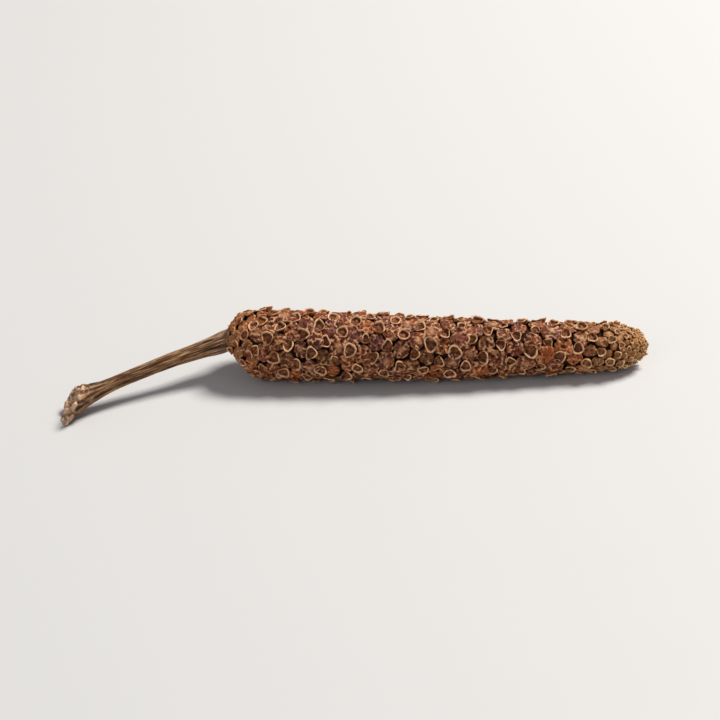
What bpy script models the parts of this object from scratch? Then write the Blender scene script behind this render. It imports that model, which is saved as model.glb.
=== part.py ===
"""A dried long pepper: a spike of small berries, with a bract in each gap between them, on a ribbed stalk.

It lies on a flat surface. +X points to the spike's tip, the stalk lies on the -X side and bends towards -Y.
The origin is on the surface, under the middle of the whole pepper's bounding box.
"""

import math

import bmesh
import bpy
import numpy as np
from mathutils import Vector
from mathutils.geometry import interpolate_bezier

MM = 0.001

# The spike, from the end that carries the stalk (its base) to its tip.
SPIKE_LENGTH = 44.8 * MM
BASE_RADIUS = 3.72 * MM        # over the berries, on the thick part next to the base
TIP_RADIUS = 2.45 * MM         # what that radius would come to at the tip, without its rounding
BASE_ROUNDING = 4.2 * MM       # length over which each end rounds off
TIP_ROUNDING = 6.4 * MM
BASE_FULLNESS = 2.4            # 2 rounds an end like an ellipse, more makes it blunter
TIP_FULLNESS = 2.2
TAPER_START = 0.12             # share of the length where the spike begins to taper
TAPER_SPAN = 1.05              # share over which it would run down to TIP_RADIUS
SPIKE_BASE = (-13.86 * MM, 3.58 * MM)  # x and y of the base
SPIKE_SWING = 1.7 * MM         # how much further the tip lies towards +Y than the base
SPIKE_BOW = 1.1 * MM           # bow of the centreline between them, towards -Y
BASE_LIFT = Vector((0, 0.10, 0.55)) * MM  # how far the middle of the base's end is pushed up
BASE_UNDERCUT = 3.5 * MM       # how far the underside of the base is drawn back

# Berries and bracts, in one spiral. Each bract stands in the gap between four berries.
GOLDEN_ANGLE = math.pi * (3 - math.sqrt(5))
BERRY_AREA = 3.55 * MM * MM    # surface that one berry and its bract take on the thick part
BERRY_RADIUS = 0.98 * MM
BERRY_HEIGHT = 0.66 * MM
GAP_STEPS = (5, 8, 13, 21, 34)  # half of one of these steps back along the spiral is the middle of a gap
BRACT_RADIUS = 0.72 * MM
BRACT_RIM_WIDTH = 0.17 * MM
BRACT_RIM_HEIGHT = 0.66 * MM
BRACT_DISH_HEIGHT = 0.36 * MM
TIP_SCALE = 0.32               # size of the last berries at each end, against those on the thick part
BASE_SCALE = 0.62
TIP_SHRINK = 0.22              # share of the length over which they get smaller
BASE_SHRINK = 0.12
JITTER = 0.09                  # spread of the berries' places and sizes, as a share of their size
SEED = 7

# The stalk, from the spike to its foot, where it broke off the vine.
STALK_SINK = 1.5 * MM          # how far its end sits inside the spike
STALK_RUN = Vector((-15.75, -8.7, -2.45)) * MM  # from the spike's base to the middle of the foot
STALK_LEAVES = Vector((-1, -0.55, -0.10))  # its directions at the two ends
STALK_ARRIVES = Vector((-1, -0.71, -0.20))
STALK_HANDLES = 0.36           # how far the two directions hold, as a share of the run
STALK_RADIUS = 0.66 * MM
STALK_COLLAR = 0.46 * MM       # extra radius where it joins the spike
COLLAR_LENGTH = 0.24           # share of the stalk over which that fades
STALK_SWELLING = 0.10 * MM     # extra radius that it gains on the way to the foot
RIB_COUNT = 10
RIB_HEIGHT = 0.085 * MM
FOOT_RADIUS = 1.70 * MM
FOOT_LENGTH = 0.32             # share of the stalk that flares into the foot
FOOT_FLARE = 2.9               # 1 flares evenly, more keeps the flare for the end
FOOT_SLANT = 1.22              # how far its face leans: the lower side reaches further along the stalk
FOOT_BULGE = 0.16              # how far the two sides of the face stand out
FOOT_DOWN = -2.08              # which way the lower side faces, as a turn round the stalk
FOOT_UPPER = 0.12              # how much less the upper side flares, as a share of its radius
SCAR_DEPTH = 0.55 * MM
RIM_HEIGHT = 0.25 * MM

JOINT_GAP = 0.15 * MM          # all round the stalk's end, where it sits in the spike
FLAT_DEPTH = 0.16 * MM         # how much the surface it lies on flattens the lowest berries

SPIKE_MESH = (132, 250)        # segments round and rings along, before thinning
SPIKE_FACES_KEPT = 0.16
STALK_MESH = (50, 60)
STALK_FACES_KEPT = 0.30


def smooth_step(t):
    t = np.clip(t, 0, 1)
    return t * t * (3 - 2 * t)


def material(name, colour, roughness):
    made = bpy.data.materials.new(name)
    made.use_nodes = True
    shader = made.node_tree.nodes["Principled BSDF"]
    shader.inputs["Base Color"].default_value = (*colour, 1)
    shader.inputs["Roughness"].default_value = roughness
    shader.inputs["Metallic"].default_value = 0
    return made


# The spike's outline

def outer_radius(along):
    """The spike's radius over its berries, without the rounding of its ends."""
    share = np.clip(along / SPIKE_LENGTH, 0, 1)
    return BASE_RADIUS + (TIP_RADIUS - BASE_RADIUS) * smooth_step((share - TAPER_START) / TAPER_SPAN)


def berry_scale(along):
    """Berries are full size on the thick part and smaller towards both ends."""
    share = along / SPIKE_LENGTH
    to_tip = 1 - (1 - TIP_SCALE) * smooth_step((share - 1 + TIP_SHRINK) / TIP_SHRINK)
    to_base = BASE_SCALE + (1 - BASE_SCALE) * smooth_step(share / BASE_SHRINK)
    return to_tip * to_base


def core_radius(along):
    """The radius under the berries, rounded off at both ends."""
    base = np.clip(along / BASE_ROUNDING, 0, 1)
    tip = np.clip((SPIKE_LENGTH - along) / TIP_ROUNDING, 0, 1)
    base = (1 - (1 - base) ** BASE_FULLNESS) ** (1 / BASE_FULLNESS)
    tip = (1 - (1 - tip) ** TIP_FULLNESS) ** (1 / TIP_FULLNESS)
    return (outer_radius(along) - BERRY_HEIGHT * berry_scale(along)) * base * tip


def even_outline(rings):
    """Distance over the skin, distance along, radius and outward normal of evenly spaced rings."""
    turn = np.linspace(0, math.pi, 4000)
    along = SPIKE_LENGTH * (1 - np.cos(turn)) / 2
    radius = core_radius(along)
    step = np.hypot(np.diff(along), np.diff(radius))
    skin = np.concatenate([[0], np.cumsum(step)])
    wanted = np.linspace(0, skin[-1], rings)
    along, radius = np.interp(wanted, skin, along), np.interp(wanted, skin, radius)
    outward, forward = np.gradient(radius), np.gradient(along)
    length = np.hypot(outward, forward)
    return wanted, along, radius, -outward / length, forward / length


def spike_centre(along):
    """Centreline of the spike as it lies, with its underside level on the surface."""
    share = along / SPIKE_LENGTH
    return np.stack([
        SPIKE_BASE[0] + along,
        SPIKE_BASE[1] + SPIKE_SWING * share - SPIKE_BOW * 4 * share * (1 - share),
        outer_radius(along) - FLAT_DEPTH,
    ], axis=-1)


def base_shift(along, radius, turn):
    """Push on the skin next to the base, which fades over the base's rounding."""
    fade = (1 - np.clip(along / BASE_ROUNDING, 0, 1)) ** 2
    under = np.clip(-np.sin(turn), 0, 1) * radius / BASE_RADIUS
    return np.outer(fade, BASE_LIFT) + np.outer(fade * under, (BASE_UNDERCUT, 0, 0))


# Berries and bracts

def spiral_turn(steps):
    """Turn round the spike that this many steps along the spiral make, within half a turn either way."""
    return np.mod(steps * GOLDEN_ANGLE + math.pi, 2 * math.pi) - math.pi


def widest_gap(radius, step):
    """Which of GAP_STEPS, halved, leads furthest from all berries, at this radius and distance between two."""
    near = np.arange(-GAP_STEPS[-1], 2 * GAP_STEPS[-1])
    room = []
    for steps in GAP_STEPS:
        round_it = np.outer(radius, spiral_turn(near) - spiral_turn(steps) / 2)
        along_it = np.outer(step, near - steps / 2)
        room.append(np.hypot(round_it, along_it).min(axis=1))
    return np.array(GAP_STEPS)[np.argmax(room, axis=0)]


def spiral_places():
    """Distance over the skin, turn round the spike and size of each berry, and then of each bract."""
    skin, along, radius, _, _ = even_outline(4000)
    density = 2 * math.pi * radius / (BERRY_AREA * berry_scale(along) ** 2)
    count = np.concatenate([[0], np.cumsum((density[1:] + density[:-1]) / 2 * np.diff(skin))])
    draw = np.random.default_rng(SEED)

    def placed(number, turn):
        where = np.interp(number, count, skin)
        scale = berry_scale(np.interp(where, skin, along))
        where = where + draw.normal(0, JITTER * BERRY_RADIUS, len(where)) * scale
        turn = turn + draw.normal(0, JITTER * BERRY_RADIUS / BASE_RADIUS, len(turn))
        return where, turn, scale * (1 + draw.normal(0, JITTER, len(scale)))

    number = np.arange(1, math.floor(count[-1]))
    berries = placed(number, number * GOLDEN_ANGLE)
    where = np.interp(number, count, skin)
    half_height = BERRY_HEIGHT * berry_scale(np.interp(where, skin, along)) / 2
    steps = widest_gap(np.interp(where, skin, radius) + half_height, np.gradient(where))
    number, steps = number[number > steps / 2], steps[number > steps / 2]
    bracts = placed(number - steps / 2, number * GOLDEN_ANGLE - spiral_turn(steps) / 2)
    return berries, bracts


def on_straight_spike(where, turn):
    """Points on the core of the straightened spike."""
    skin, along, radius, _, _ = even_outline(4000)
    r = np.interp(where, skin, radius)
    return np.stack([np.interp(where, skin, along), r * np.cos(turn), r * np.sin(turn)], axis=-1)


def relief(points):
    """How far the skin stands out at each point: a dome for each berry, a rimmed dish for each bract."""
    berries, bracts = spiral_places()
    domes, dishes, on_dish = np.zeros((3, len(points)))
    for berry, size in zip(on_straight_spike(*berries[:2]), berries[2]):
        away = np.linalg.norm(points - berry, axis=1) / (BERRY_RADIUS * size)
        domes = np.maximum(domes, BERRY_HEIGHT * size * np.sqrt(np.clip(1 - away ** 2, 0, 1)))
    for bract, size in zip(on_straight_spike(*bracts[:2]), bracts[2]):
        away = np.linalg.norm(points - bract, axis=1) / size
        rim = np.exp(-((away - BRACT_RADIUS + BRACT_RIM_WIDTH / 2) / BRACT_RIM_WIDTH) ** 2)
        dish = size * (BRACT_DISH_HEIGHT + (BRACT_RIM_HEIGHT - BRACT_DISH_HEIGHT) * rim)
        edge = smooth_step((BRACT_RADIUS + BRACT_RIM_WIDTH - away) / BRACT_RIM_WIDTH)
        dishes = np.maximum(dishes, dish * edge)
        on_dish = np.maximum(on_dish, edge)
    return np.maximum(domes * (1 - on_dish), dishes)


# Pieces drawn out along a centreline

def frame_along(centre):
    """Unit vectors along a centreline, level across it and square to both."""
    forward = np.gradient(centre, axis=0)
    forward /= np.linalg.norm(forward, axis=1)[:, None]
    across = np.cross(forward, (0, 0, 1))
    across /= np.linalg.norm(across, axis=1)[:, None]
    return forward, across, np.cross(across, forward)


def drawn_out_sphere(name, segments, rings, place):
    """A UV sphere whose points place(ring, turn) moves: ring 0 is one pole, the last ring is the other."""
    mesh = bpy.data.meshes.new(name)
    ball = bmesh.new()
    bmesh.ops.create_uvsphere(ball, u_segments=segments, v_segments=rings - 1, radius=1)
    ball.to_mesh(mesh)
    ball.free()
    points = np.empty(len(mesh.vertices) * 3)
    mesh.vertices.foreach_get("co", points)
    x, y, z = points.reshape(-1, 3).T
    ring = np.rint(np.arccos(np.clip(z, -1, 1)) / math.pi * (rings - 1)).astype(int)
    mesh.vertices.foreach_set("co", place(ring, np.arctan2(y, x)).ravel())
    return bpy.data.objects.new(name, mesh)


def spike_points(ring, turn):
    """Skin of the lying spike, with its berries and bracts raised on it."""
    _, along, radius, lean_along, lean_out = even_outline(SPIKE_MESH[1])
    s, r = along[ring], radius[ring]
    height = relief(np.stack([s, r * np.cos(turn), r * np.sin(turn)], axis=-1))
    forward, across, up = frame_along(spike_centre(along))
    out = r + height * lean_out[ring]
    return (
        spike_centre(s)
        + base_shift(s, r, turn)
        + forward[ring] * (height * lean_along[ring])[:, None]
        + across[ring] * (out * np.cos(turn))[:, None]
        + up[ring] * (out * np.sin(turn))[:, None]
    )


def stalk_line(count):
    """Centreline of the stalk, from inside the spike to the middle of its foot."""
    leaves, arrives = STALK_LEAVES.normalized(), STALK_ARRIVES.normalized()
    joint = Vector(spike_centre(np.array(0.0))) + BASE_LIFT
    foot = joint + STALK_RUN
    reach = STALK_RUN.length * STALK_HANDLES
    start = joint - leaves * STALK_SINK
    line = interpolate_bezier(start, joint + leaves * reach, foot - arrives * reach, foot, count)
    return np.array([tuple(point) for point in line])


def shaft_radius(share):
    """Radius of the stalk, without its ribs: a collar at the spike, and a flare at the foot."""
    collar = STALK_COLLAR * np.exp(-(share / COLLAR_LENGTH) ** 2)
    plain = STALK_RADIUS + collar + STALK_SWELLING * share ** 2
    flare = np.clip((share - 1 + FOOT_LENGTH) / FOOT_LENGTH, 0, 1) ** FOOT_FLARE
    return plain + (FOOT_RADIUS - STALK_RADIUS - STALK_SWELLING) * flare


def stalk_outline(rings):
    """Share of the length and radius of each ring, from the end inside the spike to the foot's scar."""
    shaft = round(rings * 0.75)
    share = np.concatenate([[0], np.linspace(0, 1, shaft - 1)])
    radius = shaft_radius(share)
    radius[0] = 0
    inward = np.linspace(0, 1, rings - shaft + 1)[1:]
    rim = RIM_HEIGHT * np.sin(math.pi * np.clip(inward / 0.4, 0, 1))
    depth = SCAR_DEPTH * smooth_step((inward - 0.15) / 0.5) - rim
    scar = 1 - depth / (STALK_RUN.length + STALK_SINK)
    return np.concatenate([share, scar]), np.concatenate([radius, FOOT_RADIUS * (1 - inward)])


def stalk_points(ring, turn):
    """Skin of the stalk: ribs along it, and an uneven foot with a leaning face."""
    share, radius = stalk_outline(STALK_MESH[1])
    steps = np.linspace(0, 1, 200)
    line = stalk_line(len(steps))
    s, r = share[ring], radius[ring]

    def read(values):
        return np.stack([np.interp(s, steps, column) for column in values.T], axis=-1)

    forward, across, up = (read(values) for values in frame_along(line))
    foot = smooth_step((s - 1 + FOOT_LENGTH) / FOOT_LENGTH)
    uneven = 0.08 * np.cos(2 * turn + 0.7) + 0.07 * np.cos(3 * turn - 0.5) + 0.05 * np.cos(5 * turn)
    uneven = uneven - FOOT_UPPER * (1 - np.cos(turn - FOOT_DOWN)) / 2
    ribs = RIB_HEIGHT * np.cos(RIB_COUNT * turn) * smooth_step((s - 0.06) / 0.06) * (r >= STALK_RADIUS)
    r = r * (1 + foot * uneven) + ribs
    lean = FOOT_SLANT * np.cos(turn - FOOT_DOWN) + FOOT_BULGE * (1 - np.cos(2 * (turn - FOOT_DOWN)))
    beyond = np.clip(s - 1, 0, None) * (STALK_RUN.length + STALK_SINK)
    return (
        read(line)
        + forward * (lean * foot * r + beyond)[:, None]
        + across * (r * np.cos(turn))[:, None]
        + up * (r * np.sin(turn))[:, None]
    )


# Cutters and modifiers

def floor_cutter():
    bpy.ops.mesh.primitive_cube_add(size=1, location=(0, 0, -5 * MM), scale=(90 * MM, 60 * MM, 10 * MM))
    return bpy.context.object


def socket_cutter():
    """The hole in the spike's base that the stalk's end sits in."""
    line = stalk_line(200)
    direction = Vector(line[5] - line[0]).normalized()
    depth = STALK_SINK + JOINT_GAP + BASE_RADIUS
    bpy.ops.mesh.primitive_cylinder_add(
        vertices=24,
        radius=STALK_RADIUS + STALK_COLLAR + RIB_HEIGHT + JOINT_GAP,
        depth=depth,
        location=Vector(line[0]) + direction * (depth / 2 - JOINT_GAP),
    )
    cutter = bpy.context.object
    cutter.rotation_mode = "QUATERNION"
    cutter.rotation_quaternion = direction.to_track_quat("Z", "Y")
    return cutter


def thin(obj, share):
    modifier = obj.modifiers.new("thin", "DECIMATE")
    modifier.ratio = share
    modifier.use_collapse_triangulate = True


def cut(obj, cutter):
    modifier = obj.modifiers.new(f"cut_{cutter.name}", "BOOLEAN")
    modifier.operation = "DIFFERENCE"
    modifier.object = cutter


def keep_as_guide(cutter, name, collection):
    cutter.name = name
    cutter.hide_render = True
    cutter.display_type = "WIRE"
    for home in list(cutter.users_collection):
        home.objects.unlink(cutter)
    collection.objects.link(cutter)


def build():
    for old in list(bpy.data.objects):
        bpy.data.objects.remove(old)
    pieces = bpy.data.collections.new("long_pepper")
    guides = bpy.data.collections.new("cutters")
    bpy.context.scene.collection.children.link(pieces)
    bpy.context.scene.collection.children.link(guides)

    floor = floor_cutter()
    keep_as_guide(floor, "floor_cutter", guides)
    socket = socket_cutter()
    keep_as_guide(socket, "socket_cutter", guides)

    spike = drawn_out_sphere("fruit_spike", *SPIKE_MESH, spike_points)
    spike.data.materials.append(material("dried_berries", (0.16, 0.075, 0.04), 0.75))
    pieces.objects.link(spike)
    thin(spike, SPIKE_FACES_KEPT)
    cut(spike, floor)
    cut(spike, socket)

    stalk = drawn_out_sphere("stalk", *STALK_MESH, stalk_points)
    stalk.data.materials.append(material("dried_stalk", (0.28, 0.17, 0.085), 0.7))
    pieces.objects.link(stalk)
    thin(stalk, STALK_FACES_KEPT)
    cut(stalk, floor)


build()
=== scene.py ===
import math

import bpy
import numpy as np
from mathutils import Matrix, Vector
from mathutils.geometry import interpolate_bezier


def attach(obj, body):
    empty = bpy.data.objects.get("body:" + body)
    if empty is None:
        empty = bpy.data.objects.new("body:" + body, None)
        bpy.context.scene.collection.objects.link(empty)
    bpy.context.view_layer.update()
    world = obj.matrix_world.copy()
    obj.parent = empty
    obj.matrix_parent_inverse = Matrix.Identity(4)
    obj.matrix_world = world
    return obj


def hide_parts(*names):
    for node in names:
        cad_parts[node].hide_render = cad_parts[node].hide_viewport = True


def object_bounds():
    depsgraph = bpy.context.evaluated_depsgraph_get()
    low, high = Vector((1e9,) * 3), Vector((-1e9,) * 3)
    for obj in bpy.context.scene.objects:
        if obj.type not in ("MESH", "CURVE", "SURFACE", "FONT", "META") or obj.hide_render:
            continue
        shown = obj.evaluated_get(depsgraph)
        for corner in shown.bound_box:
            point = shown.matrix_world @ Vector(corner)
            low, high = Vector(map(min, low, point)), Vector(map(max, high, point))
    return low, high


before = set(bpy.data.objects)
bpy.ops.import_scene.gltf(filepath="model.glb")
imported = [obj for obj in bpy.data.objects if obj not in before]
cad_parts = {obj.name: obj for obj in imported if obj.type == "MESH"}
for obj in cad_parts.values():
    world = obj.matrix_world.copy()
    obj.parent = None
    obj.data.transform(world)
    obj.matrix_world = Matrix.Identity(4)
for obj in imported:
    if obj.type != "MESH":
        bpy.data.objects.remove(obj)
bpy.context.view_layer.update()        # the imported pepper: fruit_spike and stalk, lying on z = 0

mm = 0.001
placeRng = np.random.default_rng(7)     # places and sizes of berries and bracts, drawn as in the solids
looksRng = np.random.default_rng(23)    # what only the fine surface has

# the pepper's own form, with the solids' values

spike = {
    "length": 44.8 * mm,
    "baseRadius": 3.72 * mm,        # over the berries
    "tipRadius": 2.45 * mm,
    "baseRounding": 4.2 * mm,       # length over which each end closes
    "tipRounding": 6.4 * mm,
    "baseFullness": 2.4,            # 2 closes it as an ellipse, more is blunter
    "tipFullness": 2.2,
    "taperStart": 0.12,             # shares of the length
    "taperSpan": 1.05,
    "baseAt": (-13.86 * mm, 3.58 * mm),
    "swing": 1.7 * mm,              # how far the tip lies to the back
    "bow": 1.1 * mm,                # and the middle to the front
    "baseLift": (0, 0.10 * mm, 0.55 * mm),
    "baseUndercut": 3.5 * mm,       # how far the base's lower side is cut back
    "flatDepth": 0.16 * mm,         # how much of the lowest berries the floor takes off
    "steps": 4000,                  # of the outline
}

spiral = {
    "goldenAngle": math.pi * (3 - math.sqrt(5)),
    "berryArea": 3.55 * mm * mm,    # skin for one berry and its bract
    "berryRadius": 0.98 * mm,
    "berryHeight": 0.66 * mm,
    "gapSteps": (5, 8, 13, 21, 34),  # a bract stands half of one of these steps back, in the widest gap
    "tipScale": 0.32,               # size of the last and the first berries
    "baseScale": 0.62,
    "tipShrink": 0.22,              # shares of the length over which they get there
    "baseShrink": 0.12,
    "jitter": 0.09,                 # how much places and sizes vary
    "lastScale": 1.3,               # of the berry that closes the spiral, against tipScale
}


def smoothStep(t):
    t = np.clip(t, 0, 1)
    return t * t * (3 - 2 * t)


def outerRadius(along):
    share = np.clip(along / spike["length"], 0, 1)
    taper = smoothStep((share - spike["taperStart"]) / spike["taperSpan"])
    return spike["baseRadius"] + (spike["tipRadius"] - spike["baseRadius"]) * taper


def berryScale(along):
    share = along / spike["length"]
    toTip = 1 - (1 - spiral["tipScale"]) * smoothStep((share - 1 + spiral["tipShrink"]) / spiral["tipShrink"])
    toBase = spiral["baseScale"] + (1 - spiral["baseScale"]) * smoothStep(share / spiral["baseShrink"])
    return toTip * toBase


def coreRadius(along):
    base = np.clip(along / spike["baseRounding"], 0, 1)
    tip = np.clip((spike["length"] - along) / spike["tipRounding"], 0, 1)
    base = (1 - (1 - base) ** spike["baseFullness"]) ** (1 / spike["baseFullness"])
    tip = (1 - (1 - tip) ** spike["tipFullness"]) ** (1 / spike["tipFullness"])
    return (outerRadius(along) - spiral["berryHeight"] * berryScale(along)) * base * tip


def evenOutline():
    # distance over the skin, distance along, radius, and the outward direction's two parts
    turn = np.linspace(0, math.pi, spike["steps"])
    along = spike["length"] * (1 - np.cos(turn)) / 2
    radius = coreRadius(along)
    skin = np.concatenate([[0], np.cumsum(np.hypot(np.diff(along), np.diff(radius)))])
    wanted = np.linspace(0, skin[-1], spike["steps"])
    along, radius = np.interp(wanted, skin, along), np.interp(wanted, skin, radius)
    outward, forward = np.gradient(radius), np.gradient(along)
    length = np.hypot(outward, forward)
    return wanted, along, radius, -outward / length, forward / length


def spikeCentre(along):
    share = along / spike["length"]
    side = spike["baseAt"][1] + spike["swing"] * share - spike["bow"] * 4 * share * (1 - share)
    return np.stack([spike["baseAt"][0] + along, side, outerRadius(along) - spike["flatDepth"]], axis=-1)


def baseShift(along, radius, turn):
    fade = (1 - np.clip(along / spike["baseRounding"], 0, 1)) ** 2
    under = np.clip(-np.sin(turn), 0, 1) * radius / spike["baseRadius"]
    return np.outer(fade, spike["baseLift"]) + np.outer(fade * under, (spike["baseUndercut"], 0, 0))


def frameAlong(centre):
    forward = np.gradient(centre, axis=0)
    forward /= np.linalg.norm(forward, axis=1)[:, None]
    across = np.cross(forward, (0, 0, 1))
    across /= np.linalg.norm(across, axis=1)[:, None]
    return forward, across, np.cross(across, forward)


outline = evenOutline()
outlineFrame = frameAlong(spikeCentre(outline[1]))


def onSpike(where, turn, height=0.0):
    # points of the lying spike, height above its core, with the outward and forward directions there
    skin, along, radius, leanAlong, leanOut = outline

    def read(values):
        return np.interp(where, skin, values)

    forward, across, up = (np.stack([read(part) for part in axis.T], axis=-1) for axis in outlineFrame)
    s, r = read(along), read(radius)
    side = across * np.cos(turn)[:, None] + up * np.sin(turn)[:, None]
    out = forward * read(leanAlong)[:, None] + side * read(leanOut)[:, None]
    out /= np.linalg.norm(out, axis=1)[:, None]
    point = spikeCentre(s) + baseShift(s, r, turn) + side * r[:, None] + out * np.asarray(height)[..., None]
    return point, out, forward


def spiralTurn(steps):
    return np.mod(steps * spiral["goldenAngle"] + math.pi, 2 * math.pi) - math.pi


def widestGap(radius, step):
    # which step, halved, leads furthest from all berries, at this radius and distance between two
    near = np.arange(-spiral["gapSteps"][-1], 2 * spiral["gapSteps"][-1])
    room = []
    for steps in spiral["gapSteps"]:
        roundIt = np.outer(radius, spiralTurn(near) - spiralTurn(steps) / 2)
        alongIt = np.outer(step, near - steps / 2)
        room.append(np.hypot(roundIt, alongIt).min(axis=1))
    return np.array(spiral["gapSteps"])[np.argmax(room, axis=0)]


def spiralPlaces():
    # distance over the skin, turn and size of each berry, and then of each bract
    skin, along, radius, _, _ = outline
    density = 2 * math.pi * radius / (spiral["berryArea"] * berryScale(along) ** 2)
    count = np.concatenate([[0], np.cumsum((density[1:] + density[:-1]) / 2 * np.diff(skin))])

    def placed(number, turn):
        where = np.interp(number, count, skin)
        scale = berryScale(np.interp(where, skin, along))
        spread = spiral["jitter"] * spiral["berryRadius"]
        where = where + placeRng.normal(0, spread, len(where)) * scale
        turn = turn + placeRng.normal(0, spread / spike["baseRadius"], len(turn))
        return where, turn, scale * (1 + placeRng.normal(0, spiral["jitter"], len(scale)))

    number = np.arange(1, math.floor(count[-1]))
    berries = placed(number, number * spiral["goldenAngle"])
    where = np.interp(number, count, skin)
    halfHeight = spiral["berryHeight"] * berryScale(np.interp(where, skin, along)) / 2
    steps = widestGap(np.interp(where, skin, radius) + halfHeight, np.gradient(where))
    number, steps = number[number > steps / 2], steps[number > steps / 2]
    return berries, placed(number - steps / 2, number * spiral["goldenAngle"] - spiralTurn(steps) / 2)


def shareAlong(where):
    return np.interp(where, outline[0], outline[1]) / spike["length"]


def nearTip(share):
    # 0 over most of the spike, rising to 1 close to its tip
    return smoothStep((share - 0.80) / 0.15)


def hump(value, middle, width):
    return np.exp(-((value - middle) / width) ** 2)


# working on objects

def freshStart():
    if bpy.context.mode != "OBJECT":
        bpy.ops.object.mode_set(mode="OBJECT")
    bpy.ops.object.select_all(action="DESELECT")


def pickOut(piece):
    freshStart()
    piece.select_set(True)
    bpy.context.view_layer.objects.active = piece


def coordsOf(piece):
    co = np.empty(len(piece.data.vertices) * 3)
    piece.data.vertices.foreach_get("co", co)
    return co.reshape(-1, 3)


def setCoords(piece, co):
    piece.data.vertices.foreach_set("co", np.ascontiguousarray(co, dtype=np.float64).ravel())
    piece.data.update()


def paint(piece, name, values):
    # a number at each point, for a material to read
    layer = piece.data.attributes.get(name) or piece.data.attributes.new(name, "FLOAT", "POINT")
    layer.data.foreach_set("value", np.broadcast_to(np.asarray(values, np.float32), len(piece.data.vertices)))


def weigh(piece, name, weights):
    # a vertex group, for a modifier to follow
    group = piece.vertex_groups.new(name=name)
    for weight in np.unique(weights[weights > 0]):
        group.add(np.flatnonzero(weights == weight).tolist(), float(weight), "REPLACE")


def paintHighlightShade(piece, depth, rounds):
    # how far each point stands out from its surroundings: 1 on a crest, 0.5 on the level, 0 in a crease, for
    # painted highlights on crests and painted shade in creases
    mesh = piece.data
    ends = np.empty(len(mesh.edges) * 2, dtype=np.int32)
    mesh.edges.foreach_get("vertices", ends)
    a, b = ends.reshape(-1, 2).T
    normals = np.empty(len(mesh.vertices) * 3)
    mesh.vertices.foreach_get("normal", normals)
    co = coordsOf(piece)
    here, there = np.concatenate([a, b]), np.concatenate([b, a])
    neighbours = np.maximum(np.bincount(here, minlength=len(co)), 1)
    smooth = co
    for _ in range(rounds):
        parts = [np.bincount(here, smooth[there, axis], minlength=len(co)) / neighbours for axis in range(3)]
        smooth = np.stack(parts, axis=-1)
    standsOut = ((co - smooth) * normals.reshape(-1, 3)).sum(axis=1)
    paint(piece, "highlightShade", np.clip(0.5 + standsOut / depth, 0, 1))


def soften(piece, levels):
    modifier = piece.modifiers.new("soften", "SUBSURF")
    modifier.levels = modifier.render_levels = levels


def wrinkle(piece, name, size, depth, kind="SOFT_NOISE", level=0.5, group=""):
    texture = bpy.data.textures.new(name, "CLOUDS")
    texture.noise_scale = size
    texture.noise_depth = 2
    texture.noise_type = kind
    texture.noise_basis = "IMPROVED_PERLIN"
    modifier = piece.modifiers.new(name, "DISPLACE")
    modifier.texture = texture
    modifier.texture_coords = "LOCAL"
    modifier.strength = depth
    modifier.mid_level = level
    modifier.vertex_group = group


def applyModifiers(piece):
    pickOut(piece)
    for modifier in list(piece.modifiers):
        bpy.ops.object.modifier_apply(modifier=modifier.name)


def restOnFloor(piece):
    # what would sink into the floor is flattened on it
    co = coordsOf(piece)
    co[:, 2] = np.maximum(co[:, 2], 0)
    setCoords(piece, co)


def smoothShade(piece, degrees=80):
    pickOut(piece)
    bpy.ops.object.shade_smooth_by_angle(angle=math.radians(degrees))


def turnFacesOut(piece):
    pickOut(piece)
    bpy.ops.object.mode_set(mode="EDIT")
    bpy.ops.mesh.select_all(action="SELECT")
    bpy.ops.mesh.normals_make_consistent(inside=False)
    bpy.ops.object.mode_set(mode="OBJECT")


def joinAll(copies, name):
    freshStart()
    for piece in copies:
        piece.select_set(True)
    bpy.context.view_layer.objects.active = copies[0]
    bpy.ops.object.join()
    joined = bpy.context.object
    joined.name = name
    bpy.ops.object.transform_apply(location=True, rotation=True, scale=True)
    return joined


def joinInGroups(copies, names):
    # equal groups in the spiral's order, one piece for each name
    groups = np.array_split(np.arange(len(copies)), len(names))
    return [joinAll([copies[i] for i in group], name) for name, group in zip(names, groups)]


def finishSurface(piece, highlightShadeDepth=None, highlightShadeRounds=0):
    applyModifiers(piece)
    restOnFloor(piece)
    if highlightShadeDepth:
        paintHighlightShade(piece, highlightShadeDepth, highlightShadeRounds)
    smoothShade(piece)
    print(piece.name + ":", len(piece.data.polygons), "faces")


def standOn(master, point, out, forward, size):
    # a copy of the master with its own mesh, standing on the core, its x towards the spike's tip
    piece = master.copy()
    piece.data = master.data.copy()
    bpy.context.scene.collection.objects.link(piece)
    z = Vector(out).normalized()
    x = (Vector(forward) - z * Vector(forward).dot(z)).normalized()
    turned = Matrix((x, z.cross(x), z)).transposed().to_4x4()
    piece.matrix_world = Matrix.Translation(Vector(point)) @ turned @ Matrix.Diagonal((*size, 1))
    return piece


def lobes(angle, *strengths):
    # an uneven outline: 2, 3, 5 and 7 lobes, each at its own drawn turn
    swell = np.ones_like(angle)
    for count, strength in zip((2, 3, 5, 7), strengths):
        swell += strength * np.cos(count * angle + looksRng.uniform(0, 2 * math.pi))
    return swell


def finishPiece(piece, material, slot, *nodes):
    piece.data.materials.clear()
    piece.data.materials.append(material)
    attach(piece, "root")
    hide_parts(*nodes)


# working on materials

def newMaterial(name):
    material = bpy.data.materials.new(name)
    material.use_nodes = True
    return material


def addNode(material, kind, inputs, **settings):
    tree = material.node_tree
    node = tree.nodes.new("ShaderNode" + kind)
    for name, value in settings.items():
        setattr(node, name, value)
    for name, value in inputs.items():
        if isinstance(value, bpy.types.NodeSocket):
            tree.links.new(value, node.inputs[name])
        elif isinstance(value, tuple):
            node.inputs[name].default_value = (*value, 1)
        else:
            node.inputs[name].default_value = value
    return node


def readPaint(material, name, output="Fac"):
    return addNode(material, "Attribute", {}, attribute_name=name).outputs[output]


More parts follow.
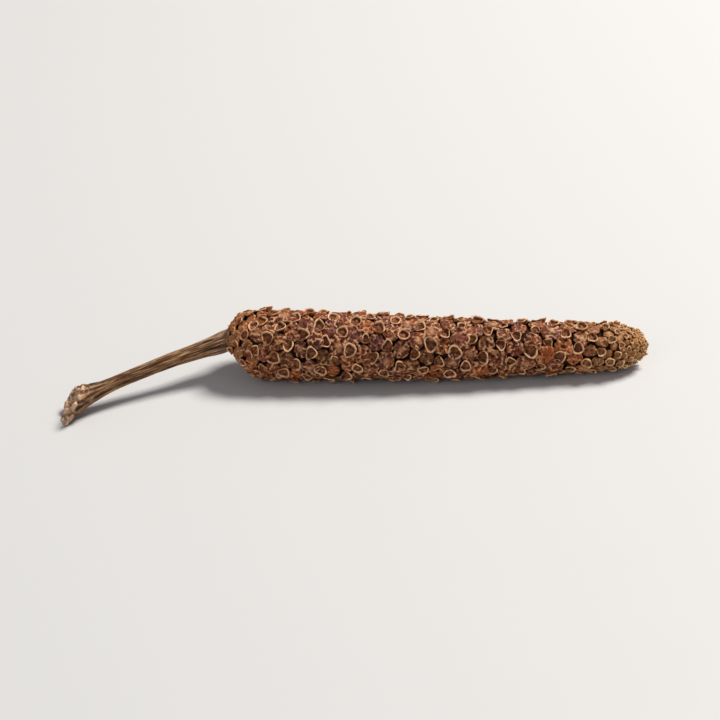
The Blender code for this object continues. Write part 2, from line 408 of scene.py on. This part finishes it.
def noise(material, scale, detail=3, roughness=0.55, where=None):
    where = where or addNode(material, "TexCoord", {}).outputs["Object"]
    inputs = {"Vector": where, "Scale": scale, "Detail": detail, "Roughness": roughness}
    return addNode(material, "TexNoise", inputs).outputs["Fac"]


def cracks(material, scale):
    inputs = {"Vector": addNode(material, "TexCoord", {}).outputs["Object"], "Scale": scale}
    return addNode(material, "TexVoronoi", inputs, feature="DISTANCE_TO_EDGE").outputs["Distance"]


def span(material, value, low, high, newLow=0.0, newHigh=1.0):
    inputs = {"Value": value, "From Min": low, "From Max": high, "To Min": newLow, "To Max": newHigh}
    return addNode(material, "MapRange", inputs).outputs["Result"]


def times(material, a, b):
    return addNode(material, "Math", {0: a, 1: b}, operation="MULTIPLY").outputs[0]


def blend(material, share, a, b):
    return addNode(material, "Mix", {0: share, 6: a, 7: b}, data_type="RGBA").outputs[2]


def bump(material, height, strength, distance, under=None):
    inputs = {"Height": height, "Strength": strength, "Distance": distance}
    if under:
        inputs["Normal"] = under
    return addNode(material, "Bump", inputs).outputs["Normal"]


def closeMaterial(material, colour, roughness, normal, specular):
    tree = material.node_tree
    shader = tree.nodes["Principled BSDF"]
    tree.links.new(colour, shader.inputs["Base Color"])
    tree.links.new(roughness, shader.inputs["Roughness"])
    tree.links.new(normal, shader.inputs["Normal"])
    shader.inputs["Specular IOR Level"].default_value = specular
    return material


# berries

berryLook = {
    # painted shade for creases and clefts, also the colour of small dark specks
    "creaseShadeAndSpeck": (0.014, 0.004, 0.003),
    "brown": (0.180, 0.042, 0.015),
    "mauve": (0.120, 0.029, 0.021),
    "olive": (0.150, 0.057, 0.016),
    "orange": (0.400, 0.088, 0.018),
    "tan": (0.600, 0.300, 0.105),
    # painted crease shade, mottled, near the tip
    "tipShade": (0.235, 0.085, 0.028),
    "crestHighlightAndScar": (0.630, 0.325, 0.160),      # painted highlight on crests, and the pale colour of the little scars
    "roughness": (0.42, 0.70),
}


def makeBerryMaterial():
    look = newMaterial("driedBerrySkin")
    tint, along, highlightShade = (readPaint(look, name) for name in ("tint", "along", "highlightShade"))
    colour = blend(look, span(look, tint, 0.0, 0.45), berryLook["mauve"], berryLook["brown"])
    colour = blend(look, span(look, tint, 0.55, 0.75, 0, 0.8), colour, berryLook["olive"])
    colour = blend(look, span(look, tint, 0.82, 0.95, 0, 0.85), colour, berryLook["orange"])
    blotch = noise(look, 750, 4, 0.6)
    colour = blend(look, span(look, blotch, 0.52, 0.68, 0, 0.75), colour, berryLook["orange"])
    colour = blend(look, span(look, along, 0.14, 0.0, 0, 0.35), colour, berryLook["orange"])
    colour = blend(look, span(look, along, 0.80, 0.98, 0, 0.75), colour, berryLook["tan"])
    # mottled painted shade of fine creases near the tip
    tipMottledShade = times(look, span(look, noise(look, 2800), 0.44, 0.60), span(look, along, 0.84, 0.94, 0, 0.75))
    colour = blend(look, tipMottledShade, colour, berryLook["tipShade"])
    colour = blend(look, span(look, along, 0.08, 0.0, 0, 0.5), colour, berryLook["tan"])
    colour = blend(look, span(look, noise(look, 1500), 0.55, 0.75, 0, 0.35), colour, berryLook["creaseShadeAndSpeck"])
    # painted highlight on the crests of the folds, broken up by noise
    crestHighlight = times(look, span(look, highlightShade, 0.60, 0.88), span(look, noise(look, 1200), 0.38, 0.54))
    colour = blend(look, crestHighlight, colour, berryLook["crestHighlightAndScar"])
    # painted shade in the creases of the folds, less of it near the tip
    clear = span(look, along, 0.86, 0.97, 1, 0.55)
    paintedCreaseShade = times(look, span(look, highlightShade, 0.46, 0.10, 0, 0.9), clear)
    colour = blend(look, paintedCreaseShade, colour, berryLook["creaseShadeAndSpeck"])
    # painted shade low on each berry, in the clefts between berries
    low = times(look, span(look, readPaint(look, "rise"), 0.86, 0.40), clear)
    colour = blend(look, low, colour, berryLook["creaseShadeAndSpeck"])
    colour = blend(look, times(look, readPaint(look, "scar"), 0.7), colour, berryLook["crestHighlightAndScar"])
    normal = bump(look, noise(look, 6000, 4, 0.6), 0.6, 0.08 * mm)
    normal = bump(look, cracks(look, 3000), 0.4, 0.06 * mm, normal)
    return closeMaterial(look, colour, span(look, blotch, 0.3, 0.7, *berryLook["roughness"]), normal, 0.18)


berry = {
    "sides": 10,
    "rings": 8,
    "width": (1.10, 1.30),          # along and round the spike, of the spiral's berry radius
    "slimWidth": (1.30, 1.18),      # the same where the spike is thin, and its berries stand further apart
    "slimBy": 0.85,                 # share of the length at which they have that width
    "tipWidth": 0.90,               # times that at the very tip, where the rims show more than the berries
    "height": 0.67 * mm,
    "widthVaries": 0.05,
    "heightVaries": 0.07,
    "sideLobes": (0.07, 0.06, 0.06),
    "topLobes": (0.08, 0.08, 0.06),
    "cutAt": 0.55,                  # how far under its middle the ball is cut
    "widestAt": 0.42,               # share of the height at which it is widest
    "squareness": 0.75,             # below 1 the shoulders are fuller and the top flatter
    "wrinkleSize": 0.72 * mm,
    "wrinkleDepth": -0.46 * mm,     # below 0 it raises sharp folds between rounded hollows
    "wrinkleLevel": 0.05,           # how little the folds swell the berry
    "fineSize": 0.26 * mm,
    "fineDepth": 0.10 * mm,
    "highlightShadeDepth": 0.085 * mm,        # a fold that stands out half as far has the full painted highlight
    "scarShare": 0.3,               # share of the berries that show their little scar
    "pieces": ("berriesNearStalk", "berriesInMiddle", "berriesNearTip"),
}


def makeBerry():
    # a squat ball with full shoulders, widest well above its foot, so that narrow clefts are left between two
    freshStart()
    bpy.ops.mesh.primitive_uv_sphere_add(segments=berry["sides"], ring_count=berry["rings"], radius=1)
    master = bpy.context.object
    bpy.ops.object.mode_set(mode="EDIT")
    bpy.ops.mesh.select_all(action="SELECT")
    bpy.ops.mesh.bisect(plane_co=(0, 0, -berry["cutAt"]), plane_no=(0, 0, 1), use_fill=True, clear_inner=True)
    bpy.ops.object.mode_set(mode="OBJECT")
    co = coordsOf(master)
    up = co[:, 2].copy()
    level = np.maximum(np.linalg.norm(co[:, :2], axis=1), 1e-6)
    co[:, :2] *= (level ** (berry["squareness"] - 1))[:, None]
    widest = berry["widestAt"]
    above = widest + (1 - widest) * np.abs(up) ** berry["squareness"]
    co[:, 2] = np.where(up > 0, above, widest * (1 + up / berry["cutAt"]))
    setCoords(master, co)
    paint(master, "rise", np.clip(co[:, 2], 0, 1))
    paint(master, "scar", np.where(up > 0.999, 1.0, 0.0))
    master.vertex_groups.new(name="size")
    return master


def makeBerries(where, turn, size):
    master = makeBerry()
    point, out, forward = onSpike(where, turn)
    copies = []
    for i in range(len(where)):
        share = shareAlong(where[i])
        slim = smoothStep(share / berry["slimBy"])
        wide = np.array(berry["width"]) * (1 - slim) + np.array(berry["slimWidth"]) * slim
        wide *= spiral["berryRadius"] * size[i] * (1 - (1 - berry["tipWidth"]) * nearTip(share))
        wide *= 1 + looksRng.normal(0, berry["widthVaries"], 2)
        tall = berry["height"] * size[i] * (1 + looksRng.normal(0, berry["heightVaries"]))
        piece = standOn(master, point[i], out[i], forward[i], (*wide, tall))
        co = coordsOf(piece)
        angle = np.arctan2(co[:, 1], co[:, 0])
        co[:, :2] *= lobes(angle, *berry["sideLobes"])[:, None]
        co[:, 2] += np.clip(co[:, 2], 0, 1) * (lobes(angle, *berry["topLobes"]) - 1)
        setCoords(piece, co)
        paint(piece, "tint", looksRng.uniform(0, 1))
        paint(piece, "along", share)
        if looksRng.uniform() > berry["scarShare"]:
            paint(piece, "scar", 0)
        piece.vertex_groups["size"].add(list(range(len(co))), min(size[i], 1), "REPLACE")
        copies.append(piece)
    bpy.data.objects.remove(master)
    pieces = joinInGroups(copies, berry["pieces"])
    folds = (berry["wrinkleSize"], berry["wrinkleDepth"], "HARD_NOISE", berry["wrinkleLevel"])
    for berries in pieces:
        soften(berries, 2)
        wrinkle(berries, "wrinkle", *folds, group="size")
        wrinkle(berries, "fineWrinkle", berry["fineSize"], berry["fineDepth"], group="size")
        finishSurface(berries, berry["highlightShadeDepth"], 4)
    return pieces


# bracts

bractLook = {
    "rim": (0.840, 0.490, 0.260),
    "rimDull": (0.250, 0.090, 0.036),
    "floor": (0.125, 0.034, 0.013),
    "floorLight": (0.310, 0.100, 0.032),
    "tan": (0.560, 0.290, 0.110),
    "golden": (0.880, 0.600, 0.320),    # rims at the tip
}


def makeBractMaterial():
    look = newMaterial("driedBractRim")
    along, highlightShade = readPaint(look, "along"), readPaint(look, "highlightShade")
    patch = noise(look, 900)
    shown = times(look, readPaint(look, "bright"), span(look, patch, 0.34, 0.50, 0.4, 1))
    edge = blend(look, shown, bractLook["rimDull"], bractLook["rim"])
    edge = blend(look, span(look, along, 0.84, 0.96, 0, 0.8), edge, bractLook["golden"])
    inside = blend(look, span(look, noise(look, 2400), 0.42, 0.62), bractLook["floor"], bractLook["floorLight"])
    inside = blend(look, span(look, along, 0.14, 0.0, 0, 0.5), inside, berryLook["orange"])
    inside = blend(look, span(look, along, 0.82, 0.98, 0, 0.7), inside, bractLook["tan"])
    # painted highlight on the crests inside the cup
    inside = blend(look, span(look, highlightShade, 0.62, 0.95, 0, 0.5), inside, bractLook["tan"])
    colour = blend(look, span(look, readPaint(look, "rim"), 0.25, 0.65), inside, edge)
    # painted shade in the creases and low at the foot of each bract
    colour = blend(look, span(look, highlightShade, 0.42, 0.12, 0, 0.8), colour, berryLook["creaseShadeAndSpeck"])
    colour = blend(look, span(look, readPaint(look, "rise"), 0.68, 0.30), colour, berryLook["creaseShadeAndSpeck"])
    normal = bump(look, noise(look, 6500), 0.5, 0.06 * mm)
    return closeMaterial(look, colour, span(look, patch, 0.3, 0.7, 0.42, 0.7), normal, 0.18)


bract = {
    "sides": 12,
    "radius": 0.75 * mm,            # along the spike
    "broader": 1.08,                # times that round it
    "height": 0.69 * mm,
    "tipWider": 0.12,               # how much wider and higher they are near the tip, as shares
    "tipHigher": 0.45,
    "sizeVaries": 0.06,
    "lean": 0.10,                   # tilt of the little cup towards the stalk
    "spread": 0.08,                 # how much that varies
    "corners": 0.65,                # 0 leaves the rim round, 1 makes it a triangle
    "cornersVary": (0.3, 1.2),
    "sideLobes": (0.08, 0.05, 0.05),
    "rimLobes": (0.07, 0.07, 0.063),
    "sunk": 0.15,                   # how far the rim rises on one side and sinks on the other, times the height
    "bright": (0.7, 1.15),          # paleness of the rims
    "wrinkleSize": 0.30 * mm,
    "wrinkleDepth": 0.22 * mm,
    # how far a point stands out for the full painted highlight, or sinks for the full painted shade
    "highlightShadeDepth": 0.12 * mm,
    # radius, height and paleness from the foot, over the rim, to the boss in its middle
    "profile": (
        (0.60, 0.10, 0.0), (0.80, 0.60, 0.0), (0.95, 0.93, 0.12), (1.00, 1.03, 1.0), (0.92, 1.10, 1.0),
        (0.78, 1.05, 0.8), (0.64, 0.80, 0.0), (0.40, 0.68, 0.0), (0.20, 0.78, 0.0),
    ),
    "pieces": ("bractsNearStalk", "bractsNearTip"),
}


def makeBract():
    # a little cup drawn up from a disc: its foot, a flared wall, a thin rim, a sunken floor and a low boss
    freshStart()
    foot = bract["profile"][0]
    bpy.ops.mesh.primitive_cylinder_add(
        vertices=bract["sides"], radius=foot[0], depth=0.4, location=(0, 0, foot[1] - 0.2)
    )
    master = bpy.context.object
    bpy.ops.object.transform_apply(location=True, rotation=False, scale=False)
    bpy.ops.object.mode_set(mode="EDIT")
    bpy.ops.mesh.select_mode(type="FACE")
    bpy.ops.mesh.select_all(action="DESELECT")
    bpy.ops.object.mode_set(mode="OBJECT")
    for face in master.data.polygons:
        face.select = face.normal.z > 0.9
    bpy.ops.object.mode_set(mode="EDIT")
    for before, after in zip(bract["profile"], bract["profile"][1:]):
        bpy.ops.mesh.extrude_region_move(TRANSFORM_OT_translate={"value": (0, 0, after[1] - before[1])})
        wider = after[0] / before[0]
        bpy.ops.transform.resize(value=(wider, wider, 1), center_override=(0, 0, after[1]))
    bpy.ops.object.mode_set(mode="OBJECT")
    co = coordsOf(master)
    radius = np.linalg.norm(co[:, :2], axis=1)
    pale = np.zeros(len(co))
    for r, z, value in bract["profile"]:
        pale[(np.abs(radius - r) < 0.01) & (np.abs(co[:, 2] - z) < 0.01)] = value
    paint(master, "rim", pale)
    paint(master, "rise", np.clip(co[:, 2], 0, 1))
    master.vertex_groups.new(name="size")
    return master


def triangle(angle):
    # distance from the middle to the edge of a triangle, 1 on average
    third = 2 * math.pi / 3
    return 0.62 / np.cos(np.mod(angle, third) - third / 2)


def makeBracts(where, turn, size):
    master = makeBract()
    pale = np.array([point.value for point in master.data.attributes["rim"].data])
    point, out, forward = onSpike(where, turn)
    copies = []
    for i in range(len(where)):
        share = shareAlong(where[i])
        width = bract["radius"] * size[i] * (1 + bract["tipWider"] * nearTip(share))
        width *= 1 + looksRng.normal(0, bract["sizeVaries"])
        sideways, ahead = looksRng.normal(0, bract["spread"], 2)
        lean = np.cross(out[i], forward[i]) * sideways - forward[i] * (bract["lean"] + ahead)
        tall = bract["height"] * size[i] * (1 + bract["tipHigher"] * nearTip(share))
        tall *= 1 + looksRng.normal(0, bract["sizeVaries"])
        piece = standOn(master, point[i], out[i] + lean, forward[i], (width, width * bract["broader"], tall))
        co = coordsOf(piece)
        angle = np.arctan2(co[:, 1], co[:, 0])
        cornered = bract["corners"] * looksRng.uniform(*bract["cornersVary"])
        shape = 1 + cornered * (triangle(angle + looksRng.uniform(0, 2 * math.pi)) - 1)
        co[:, :2] *= (shape * lobes(angle, *bract["sideLobes"]))[:, None]
        high = np.clip((co[:, 2] - 0.5) * 2, 0, 1)
        side = np.cos(angle - looksRng.normal(0.3, 1.0))
        co[:, 2] += high * (bract["sunk"] * side + lobes(angle, *bract["rimLobes"]) - 1)
        setCoords(piece, co)
        paint(piece, "rim", pale * np.clip(1 - looksRng.uniform(0, 1.6) * smoothStep(0.4 - side), 0, 1))
        paint(piece, "bright", looksRng.uniform(*bract["bright"]))
        paint(piece, "along", share)
        piece.vertex_groups["size"].add(list(range(len(co))), min(size[i], 1), "REPLACE")
        copies.append(piece)
    bpy.data.objects.remove(master)
    pieces = joinInGroups(copies, bract["pieces"])
    for bracts in pieces:
        soften(bracts, 1)
        wrinkle(bracts, "rimWrinkle", bract["wrinkleSize"], bract["wrinkleDepth"], group="size")
        finishSurface(bracts, bract["highlightShadeDepth"], 3)
    return pieces


# core

core = {
    "sides": 80,
    "rings": 150,
    "roughSize": 0.5 * mm,
    "roughDepth": 0.24 * mm,
    "lift": 0.13 * mm,              # over the solid's core, less where the berries are smaller
    "noLiftAt": 0.3,                # size of the berries at which there is none
    "dark": (0.014, 0.004, 0.002),
    "light": (0.075, 0.025, 0.011),
    "tip": (0.300, 0.125, 0.045),
}


def makeCoreMaterial():
    look = newMaterial("darkCore")
    colour = blend(look, noise(look, 1500, 4), core["dark"], core["light"])
    colour = blend(look, span(look, readPaint(look, "along"), 0.90, 0.99, 0, 0.8), colour, core["tip"])
    normal = bump(look, noise(look, 4000, 4), 0.6, 0.1 * mm)
    return closeMaterial(look, colour, span(look, noise(look, 900), 0.3, 0.7, 0.75, 0.9), normal, 0.05)


def addBall(name, sides, rings):
    # a UV sphere, with the ring, counted from its lower pole, and the turn of each of its points
    freshStart()
    bpy.ops.mesh.primitive_uv_sphere_add(segments=sides, ring_count=rings - 1, radius=1)
    ball = bpy.context.object
    ball.name = name
    co = coordsOf(ball)
    ring = np.rint(np.arccos(np.clip(-co[:, 2], -1, 1)) / math.pi * (rings - 1)).astype(int)
    return ball, ring, np.arctan2(co[:, 1], co[:, 0])


def makeCore():
    piece, ring, turn = addBall("spikeCore", core["sides"], core["rings"])
    where = np.linspace(0, outline[0][-1], core["rings"])[ring]
    share = shareAlong(where)
    size = berryScale(share * spike["length"])
    setCoords(piece, onSpike(where, turn, core["lift"] * (size - core["noLiftAt"]))[0])
    paint(piece, "along", share)
    weigh(piece, "size", size ** 2)
    turnFacesOut(piece)
    wrinkle(piece, "roughCore", core["roughSize"], core["roughDepth"], group="size")
    finishSurface(piece)
    return piece


# stalk

stalkLook = {
    # painted shade for the grooves, also the colour of the fine dark streaks
    "grooveShadeAndStreak": (0.024, 0.008, 0.004),
    "bark": (0.200, 0.088, 0.038),
    "golden": (0.360, 0.205, 0.070),
    "pink": (0.440, 0.235, 0.135),
    "light": (0.540, 0.345, 0.175),     # short streaks
    "pale": (0.680, 0.410, 0.280),      # ridges next to the spike
    "foot": (0.780, 0.510, 0.340),
}


def makeStalkMaterial():
    look = newMaterial("driedStalkFibre")
    grain = readPaint(look, "grain", "Vector")
    crest, foot, highlightShade = (readPaint(look, name) for name in ("crest", "foot", "highlightShade"))
    streak = noise(look, 2.4, 4, 0.6, grain)
    fine = noise(look, 5.5, 3, 0.6, grain)
    broad = noise(look, 1.3, 2, 0.5, grain)
    light = blend(look, span(look, broad, 0.44, 0.58), stalkLook["golden"], stalkLook["pink"])
    light = blend(look, readPaint(look, "fan"), light, stalkLook["pale"])
    lit = times(look, span(look, crest, 0.30, 0.9), span(look, streak, 0.40, 0.60, 0.25, 1))
    colour = blend(look, lit, stalkLook["bark"], light)
    # painted shade in the grooves between the ridges, deepest next to the spike
    paintedGrooveShade = times(look, span(look, crest, 0.30, 0.06), span(look, readPaint(look, "fan"), 0.05, 0.5, 0.6, 0.95))
    colour = blend(look, paintedGrooveShade, colour, stalkLook["grooveShadeAndStreak"])
    colour = blend(look, span(look, fine, 0.50, 0.64, 0, 0.8), colour, stalkLook["grooveShadeAndStreak"])
    colour = blend(look, span(look, fine, 0.47, 0.36, 0, 0.7), colour, stalkLook["light"])
    pale = times(look, foot, span(look, noise(look, 1500, 4, 0.65), 0.38, 0.54))
    colour = blend(look, pale, colour, stalkLook["foot"])
    # painted shade in the creases between the knobs of the foot, and faintly next to the spike
    colour = blend(look, times(look, foot, span(look, highlightShade, 0.42, 0.05, 0, 0.8)), colour, stalkLook["bark"])
    normal = bump(look, fine, 0.7, 0.12 * mm)
    normal = bump(look, noise(look, 5000), 0.3, 0.04 * mm, normal)
    return closeMaterial(look, colour, span(look, streak, 0.3, 0.7, 0.45, 0.7), normal, 0.2)


stalk = {
    "sink": 1.5 * mm,               # how deep it reaches into the spike
    "run": Vector((-15.75, -8.7, -2.45)) * mm,
    "leaves": Vector((-1, -0.55, -0.10)),       # its direction at the spike and at the foot
    "arrives": Vector((-1, -0.71, -0.20)),
    "handles": 0.36,                # how long it keeps to them, as a share of the run
    "steps": 400,                   # of its middle line
    "radius": 0.66 * mm,
    "collar": 0.46 * mm,            # what it is thicker by at the spike
    "collarLength": 0.24,
    "swelling": 0.10 * mm,          # and before the foot
    "ridges": 13,
    "ridgeWander": 0.12,
    "ribHeight": 0.085 * mm,
    "fan": 1.5,                     # how much the ribs gain where they spread to the spike
    "fanAt": 0.12,                  # share of the length
    "grainLength": 2.0,             # more makes the streaks shorter
    "footRadius": 1.70 * mm,
    "footLength": 0.32,
    "footFlare": 2.9,
    "footSlant": 1.22,
    "footBulge": 0.16,
    "footDown": -2.08,              # turn of the foot's lowest side
    "footUpper": 0.12,              # how much flatter the opposite side is
    "footLobes": ((2, 0.08, 0.7), (3, 0.07, -0.5), (5, 0.05, 0.0)),     # how many, how strong, their turn
    "scarDepth": 0.55 * mm,
    "rimHeight": 0.25 * mm,
    "knobSize": 0.75 * mm,          # lumps on the foot
    "knobDepth": 1.0 * mm,
    # how far a point sinks for the full painted shade in the foot's creases
    "highlightShadeDepth": 0.08 * mm,
    "sides": 180,
    "rings": 235,
    "scarRings": 46,
}


def ridges(turn, s):
    # uneven rounded ridges that run the whole length and wander a little: 1 on a crest, 0 in a groove
    crest = np.zeros_like(turn)
    for place in range(stalk["ridges"]):
        middle = 2 * math.pi * (place + looksRng.normal(0, 0.22)) / stalk["ridges"]
        wander = np.sin(2 * math.pi * looksRng.uniform(0.5, 1.3) * s + looksRng.uniform(0, 6))
        away = turn - middle - stalk["ridgeWander"] * wander
        away = np.mod(away + math.pi, 2 * math.pi) - math.pi
        tall = looksRng.uniform(0.5, 1.0)
        tall = tall * (1 + 0.35 * np.sin(looksRng.uniform(6, 14) * s + looksRng.uniform(0, 6)))
        crest = np.maximum(crest, tall * hump(away, 0, looksRng.uniform(0.10, 0.21)))
    return np.clip(crest, 0, 1.1)


def stalkLine():
    leaves, arrives = stalk["leaves"].normalized(), stalk["arrives"].normalized()
    joint = Vector(spikeCentre(np.array(0.0))) + Vector(spike["baseLift"])
    foot = joint + stalk["run"]
    reach = stalk["run"].length * stalk["handles"]
    start = joint - leaves * stalk["sink"]
    line = interpolate_bezier(start, joint + leaves * reach, foot - arrives * reach, foot, stalk["steps"])
    return np.array([tuple(point) for point in line])


def shaftRadius(share):
    collar = stalk["collar"] * hump(share, 0, stalk["collarLength"])
    plain = stalk["radius"] + collar + stalk["swelling"] * share ** 2
    flare = np.clip((share - 1 + stalk["footLength"]) / stalk["footLength"], 0, 1) ** stalk["footFlare"]
    return plain + (stalk["footRadius"] - stalk["radius"] - stalk["swelling"]) * flare


def stalkOutline():
    # share of the length and radius of each ring, from the end inside the spike to the foot's scar
    shaft = stalk["rings"] - stalk["scarRings"]
    share = np.concatenate([[0], np.linspace(0, 1, shaft - 1)])
    radius = shaftRadius(share)
    radius[0] = 0
    # the scar: a raised rim round a sunken middle
    inward = np.linspace(0, 1, stalk["scarRings"] + 1)[1:]
    rim = stalk["rimHeight"] * np.sin(math.pi * np.clip(inward / 0.4, 0, 1))
    depth = stalk["scarDepth"] * smoothStep((inward - 0.15) / 0.5) - rim
    scar = 1 - depth / (stalk["run"].length + stalk["sink"])
    return np.concatenate([share, scar]), np.concatenate([radius, stalk["footRadius"] * (1 - inward)])


def makeStalk():
    piece, ring, turn = addBall("ribbedStalk", stalk["sides"], stalk["rings"])
    share, radius = stalkOutline()
    s, r = share[ring], radius[ring]
    line = stalkLine()
    steps = np.linspace(0, 1, len(line))

    def read(values):
        return np.stack([np.interp(s, steps, column) for column in values.T], axis=-1)

    forward, across, up = (read(values) for values in frameAlong(line))
    foot = smoothStep((s - 1 + stalk["footLength"]) / stalk["footLength"])
    onScar = ring >= stalk["rings"] - stalk["scarRings"]
    fromDown = turn - stalk["footDown"]
    uneven = sum(strength * np.cos(count * turn + turned) for count, strength, turned in stalk["footLobes"])
    uneven = uneven - stalk["footUpper"] * (1 - np.cos(fromDown)) / 2
    # ridges with fine fibres between them, none inside the spike and low ones on the scar
    crest = ridges(turn, s)
    fibres = np.cos(31 * turn + 3 * np.sin(5 * s)) + 0.7 * np.cos(47 * turn - 4 * np.sin(3 * s + 1))
    fan = 1 + stalk["fan"] * hump(s, stalk["fanAt"], 0.12)
    shown = smoothStep((s - 0.05) / 0.06) * (r >= stalk["radius"] * 0.9) * np.where(onScar, 0.3, 1)
    ribs = stalk["ribHeight"] * shown * (fan * (2.0 * crest - 1.1) + 0.2 * fibres)
    r = r * (1 + foot * uneven) + ribs
    # the foot's face is cut on a slant
    lean = stalk["footSlant"] * np.cos(fromDown) + stalk["footBulge"] * (1 - np.cos(2 * fromDown))
    beyond = np.clip(s - 1, 0, None) * (stalk["run"].length + stalk["sink"])
    point = (
        read(line)
        + forward * (lean * foot * r + beyond)[:, None]
        + across * (r * np.cos(turn))[:, None]
        + up * (r * np.sin(turn))[:, None]
    )
    setCoords(piece, point)
    turnFacesOut(piece)
    palest = np.where(onScar, 0.95, 0.9 * smoothStep((s - 0.955) / 0.04))
    paint(piece, "foot", np.clip(palest + 0.3 * hump(s, 0.08, 0.06), 0, 1))
    paint(piece, "crest", crest)
    paint(piece, "fan", 0.8 * hump(s, stalk["fanAt"], 0.10))
    grain = np.stack([np.cos(turn), np.sin(turn), s * stalk["grainLength"]], axis=-1)
    layer = piece.data.attributes.new("grain", "FLOAT_VECTOR", "POINT")
    layer.data.foreach_set("vector", grain.astype(np.float32).ravel())
    weigh(piece, "knobs", smoothStep((s - 0.82) / 0.15))
    wrinkle(piece, "footKnobs", stalk["knobSize"], stalk["knobDepth"], group="knobs")
    finishSurface(piece, stalk["highlightShadeDepth"], 6)
    return piece


# floor, lights and camera

studio = {
    "floorColour": (0.62, 0.615, 0.61),
    "floorShade": (0.55, 0.545, 0.54),
    "roomColour": (0.93, 0.95, 1),
    "roomLight": 0.25,
    "elevation": 32,                # how far the camera looks down, in degrees
    "lens": 90,
    "fill": 0.82,                   # share of the picture's width that the pepper takes
    "lights": {                     # place, size, power, colour
        "key": ((0.34, 0.22, 0.58), 0.22, 6.7, (1, 0.97, 0.92)),
        "fillLight": ((-0.40, -0.45, 0.35), 0.5, 0.7, (0.92, 0.95, 1)),
    },
}


def makeStage():
    freshStart()
    bpy.ops.mesh.primitive_plane_add(size=2)
    floor = bpy.context.object
    floor.name = "floor"
    look = newMaterial("paleFloor")
    grey = noise(look, 90, 2)
    colour = blend(look, span(look, grey, 0.3, 0.7, 0, 0.05), studio["floorColour"], studio["floorShade"])
    normal = bump(look, grey, 0.02, 0.1 * mm)
    floor.data.materials.append(closeMaterial(look, colour, span(look, grey, 0, 1, 0.55, 0.65), normal, 0.3))
    room = bpy.data.worlds.new("softRoom")
    room.use_nodes = True
    background = room.node_tree.nodes["Background"]
    background.inputs["Color"].default_value = (*studio["roomColour"], 1)
    background.inputs["Strength"].default_value = studio["roomLight"]
    bpy.context.scene.world = room


def makeLights():
    for name, (place, size, power, colour) in studio["lights"].items():
        freshStart()
        bpy.ops.object.light_add(type="AREA", location=place)
        light = bpy.context.object
        light.name = name
        light.data.size = size
        light.data.energy = power
        light.data.color = colour
        light.rotation_mode = "QUATERNION"
        light.rotation_quaternion = (-Vector(place)).to_track_quat("-Z", "Y")


def makeCamera():
    low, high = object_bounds()
    centre = (low + high) / 2
    camera = bpy.data.objects.new("camera", bpy.data.cameras.new("camera"))
    bpy.context.scene.collection.objects.link(camera)
    camera.data.lens = studio["lens"]
    distance = (high.x - low.x) / studio["fill"] / camera.data.sensor_width * studio["lens"]
    raised = math.radians(studio["elevation"])
    back = Vector((0, -math.cos(raised), math.sin(raised)))
    camera.location = centre + back * distance
    camera.rotation_mode = "QUATERNION"
    camera.rotation_quaternion = (-back).to_track_quat("-Z", "Y")
    camera.data.clip_start = 0.001
    camera.data.dof.use_dof = False
    bpy.context.scene.camera = camera
    bpy.context.scene.view_settings.view_transform = "Standard"


makeCamera()
makeStage()
makeLights()
print("camera, floor and lights ready")

berryPlaces, bractPlaces = spiralPlaces()
lastBerry = (outline[0][-1], 0, spiral["tipScale"] * spiral["lastScale"])    # closes the spiral at the very tip
berryPlaces = tuple(np.append(values, last) for values, last in zip(berryPlaces, lastBerry))
finishPiece(makeCore(), makeCoreMaterial(), "dried_berries", "fruit_spike")
berrySkin = makeBerryMaterial()
for berries in makeBerries(*berryPlaces):
    finishPiece(berries, berrySkin, "dried_berries", "fruit_spike")
bractRim = makeBractMaterial()
for bracts in makeBracts(*bractPlaces):
    finishPiece(bracts, bractRim, "dried_berries", "fruit_spike")
finishPiece(makeStalk(), makeStalkMaterial(), "dried_stalk", "stalk")

print("pieces ready")
